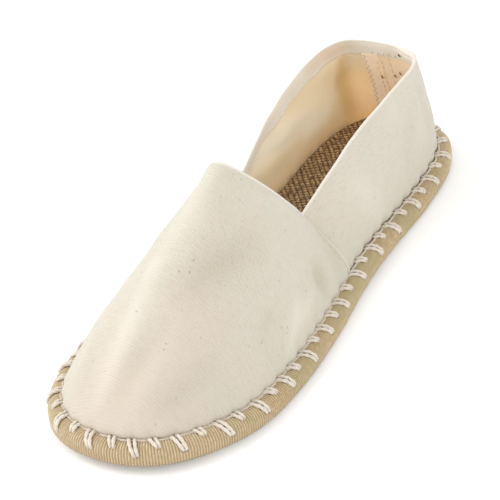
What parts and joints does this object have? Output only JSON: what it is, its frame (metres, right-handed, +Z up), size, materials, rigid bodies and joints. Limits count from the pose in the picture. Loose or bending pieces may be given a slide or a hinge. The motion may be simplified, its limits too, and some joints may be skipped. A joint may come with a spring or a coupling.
{
  "type": "espadrille",
  "caption": "Low slip-on canvas espadrille for the left foot, with a taped thin flat sole, an open collar and a pointed throat.",
  "frame": {"origin": "on the floor, under the middle of the shoe's length and width", "axes": "+X to the toe, +Y to the wearer's left, which is this shoe's outer side, +Z up"},
  "size_m": [0.265, 0.0878, 0.0736],
  "materials": {
    "sole": "matt natural rubber with a fine tread",
    "edge_tape": "finely ribbed khaki cotton tape",
    "canvas": "unbleached plain-weave cotton canvas with brown flecks",
    "jute": "coarse woven jute",
    "lining": "warm tan cotton lining",
    "yarn": "off-white twisted cotton yarn"
  },
  "bodies": {
    "root": {"sole": "sole", "edge_tape": "edge_tape", "upper": "canvas", "insole": "jute"}
  },
  "joints": []
}
